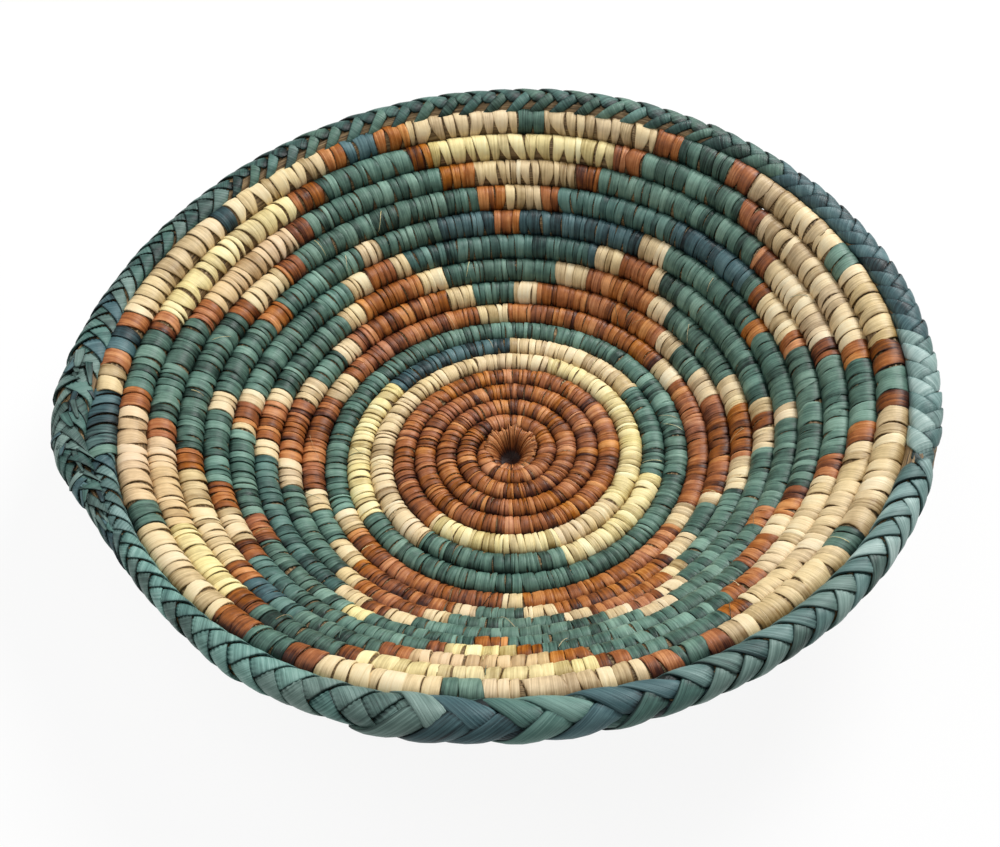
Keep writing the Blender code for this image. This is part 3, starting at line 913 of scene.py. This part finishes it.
def leaf_material(key):
    """Split palm leaf: fine veins along the strip, blotches of dye, painted shade at edges and in grooves,
    and a satin shine.
    """
    name, _, dark, middle, light = DYES[key]
    calm = PALE_SHARE if key in PALE_DYES else 1.0
    finish = Finish(name)
    veins = finish.strip_noise(*VEINS, 0.0, 3.0, 0.62)
    folds = finish.strip_noise(*FOLDS, 12.0, 2.0, 0.5)
    blotches = finish.strip_noise(*BLOTCHES, 31.0, 3.0, 0.55)
    # Painted shade along the strips' edges, where each meets the next
    painted_edge_shade = finish.calc("POWER", finish.value("edge"), EDGE_SHADE_POWER)
    shade = 0.5 - 0.5 * calm * (VEINS_WEIGH + FOLDS_WEIGH + BLOTCHES_WEIGH)
    weighed = (
        (veins, VEINS_WEIGH * calm),
        (folds, FOLDS_WEIGH * calm),
        (blotches, BLOTCHES_WEIGH * calm),
        (finish.value("tone"), TONE_WEIGHS * (1 + calm) / 2),
        (painted_edge_shade, EDGE_SHADE_WEIGHS),
        (finish.value("painted_shade"), PAINTED_SHADE_WEIGHS * calm),
    )
    for value, weight in weighed:
        shade = finish.calc("MULTIPLY_ADD", value, weight, shade)
    # The ramp's darkest stop, for the painted shade at edges and in grooves
    shade_black = tuple(part * 0.25 for part in dark)
    dyed = finish.ramp(shade, tuple(zip(LEAF_RAMP, (shade_black, dark, middle, light))))
    drift = finish.value("drift")
    warm = middle[0] > middle[2]
    drifted = {
        "Color": dyed,
        "Hue": finish.calc("MULTIPLY_ADD", drift, DRIFT_OF_WARM_HUE if warm else DRIFT_OF_HUE, 0.5),
        "Saturation": finish.calc("MULTIPLY_ADD", drift, DRIFT_OF_SATURATION, SATURATION),
    }
    finish.join(finish.shader.inputs["Base Color"], finish.node("ShaderNodeHueSaturation", drifted)["Color"])
    roughness = finish.calc("MULTIPLY_ADD", blotches, LEAF_ROUGHNESS_VARIES, LEAF_ROUGHNESS)
    finish.join(finish.shader.inputs["Roughness"], roughness)
    finish.shader.inputs["Specular IOR Level"].default_value = LEAF_SPECULAR
    height = finish.calc("MULTIPLY_ADD", folds, 1.6, veins)
    finish.bump(height, *LEAF_BUMP)
    return finish.material


def straw_material():
    """Dry straw: pale golden stalks with brown between them."""
    finish = Finish("dry_straw")
    across = finish.calc("MULTIPLY", finish.value("across"), 3000.0)
    around = finish.calc("MULTIPLY", finish.value("around"), 60.0)
    stalks = finish.noise(finish.vector(across, around, 0.0), 3.0, 0.6)
    colour = finish.ramp(
        stalks, ((0.28, srgb(52, 39, 24)), (0.5, srgb(122, 97, 62)), (0.74, srgb(188, 160, 114)))
    )
    finish.join(finish.shader.inputs["Base Color"], colour)
    finish.shader.inputs["Roughness"].default_value = STRAW_ROUGHNESS
    finish.bump(stalks, *STRAW_BUMP)
    return finish.material


def add_camera():
    """The eye of the photograph, with its slight roll."""
    hole = Vector((*HOLE_AT, HOLE_HEIGHT))
    eye = hole + EYE_FROM_HOLE
    forward = (hole + LOOK_FROM_HOLE - eye).normalized()
    level = forward.cross(Vector((0.0, 0.0, 1.0))).normalized()
    upright = level.cross(forward)
    right = math.cos(CAMERA_ROLL) * level + math.sin(CAMERA_ROLL) * upright
    up = -math.sin(CAMERA_ROLL) * level + math.cos(CAMERA_ROLL) * upright
    turn = Matrix((right, up, -forward)).transposed()
    data = bpy.data.cameras.new("camera")
    data.lens = LENS
    data.sensor_width = SENSOR
    camera = bpy.data.objects.new("camera", data)
    camera.matrix_world = Matrix.Translation(eye) @ turn.to_4x4()
    bpy.context.scene.collection.objects.link(camera)
    bpy.context.scene.camera = camera


# The light: how bright it is all round, then each lamp's place, width and watts
WORLD_LIGHT = 0.33
LAMPS = {
    "key": ((0.56, 0.62, 0.80), 0.55, 12.8),
    "fill": ((-0.55, 0.10, 0.95), 0.9, 3.3),
}


def add_lamp(name, place, size, power):
    """A round soft lamp that points at the middle of the basket."""
    data = bpy.data.lights.new(name, "AREA")
    data.shape = "DISK"
    data.size = size
    data.energy = power
    lamp = bpy.data.objects.new(name, data)
    lamp.location = place
    lamp.rotation_euler = (-Vector(place)).to_track_quat("-Z", "Y").to_euler()
    bpy.context.scene.collection.objects.link(lamp)


def add_world(strength):
    """Even white light, and plain white behind the floor."""
    world = bpy.data.worlds.new("studio")
    bpy.context.scene.world = world
    world.use_nodes = True
    tree = world.node_tree
    lighting = tree.nodes["Background"]
    lighting.inputs["Color"].default_value = (1.0, 1.0, 1.0, 1.0)
    lighting.inputs["Strength"].default_value = strength
    seen = tree.nodes.new("ShaderNodeBackground")
    seen.inputs["Color"].default_value = (1.0, 1.0, 1.0, 1.0)
    seen.inputs["Strength"].default_value = 1.0
    path = tree.nodes.new("ShaderNodeLightPath")
    mix = tree.nodes.new("ShaderNodeMixShader")
    tree.links.new(path.outputs["Is Camera Ray"], mix.inputs["Fac"])
    tree.links.new(lighting.outputs["Background"], mix.inputs[1])
    tree.links.new(seen.outputs["Background"], mix.inputs[2])
    tree.links.new(mix.outputs["Shader"], tree.nodes["World Output"].inputs["Surface"])


FLOOR_HALF_SIDE = 6.0
FLOOR_GLOW = 0.90


def add_floor(height):
    """White paper. The eye sees it nearly white, with the basket's soft shadow on it."""
    side = FLOOR_HALF_SIDE
    mesh = bpy.data.meshes.new("floor")
    corners = [(-side, -side, height), (side, -side, height), (side, side, height), (-side, side, height)]
    mesh.from_pydata(corners, [], [(0, 1, 2, 3)])
    finish = Finish("floor_white")
    grain = finish.node("ShaderNodeTexNoise", {"Scale": 40.0, "Detail": 2.0})["Fac"]
    colour = finish.ramp(grain, ((0.3, (0.93, 0.93, 0.93)), (0.7, (0.95, 0.95, 0.95))))
    finish.join(finish.shader.inputs["Base Color"], colour)
    finish.shader.inputs["Roughness"].default_value = 0.9
    finish.shader.inputs["Specular IOR Level"].default_value = 0.0
    path = finish.node("ShaderNodeLightPath", {})
    seen = finish.calc("MAXIMUM", path["Is Camera Ray"], path["Is Glossy Ray"])
    glow = finish.calc("MULTIPLY", finish.calc("MAXIMUM", seen, path["Is Transmission Ray"]), FLOOR_GLOW)
    white = finish.node("ShaderNodeEmission", {"Strength": 1.0})["Emission"]
    both = finish.node("ShaderNodeMixShader", {0: glow, 1: finish.shader.outputs["BSDF"], 2: white})["Shader"]
    finish.join(finish.tree.nodes["Material Output"].inputs["Surface"], both)
    mesh.materials.append(finish.material)
    floor = bpy.data.objects.new("floor", mesh)
    bpy.context.scene.collection.objects.link(floor)


def lowest_point():
    shown = [obj for obj in bpy.data.objects if obj.type == "MESH" and not obj.hide_render]
    return min(vertex.co.z for obj in shown for vertex in obj.data.vertices)


def main():
    materials = [leaf_material(key) for key in DYE_LETTERS]
    straw = straw_material()
    add_straw_coil(straw)
    for number in range(1, ROUNDS + 1):
        add_round_of_wraps(number, materials)
    add_centre_funnel(materials)
    add_rim_straw(straw)
    add_braid(materials)
    add_tail_bands(materials)
    add_ragged_ends(materials)
    add_loose_fibres(materials)
    add_floor(lowest_point())
    add_world(WORLD_LIGHT)
    for name, (place, size, power) in LAMPS.items():
        add_lamp(name, place, size, power)
    add_camera()
    bpy.context.scene.view_settings.view_transform = "Standard"


main()
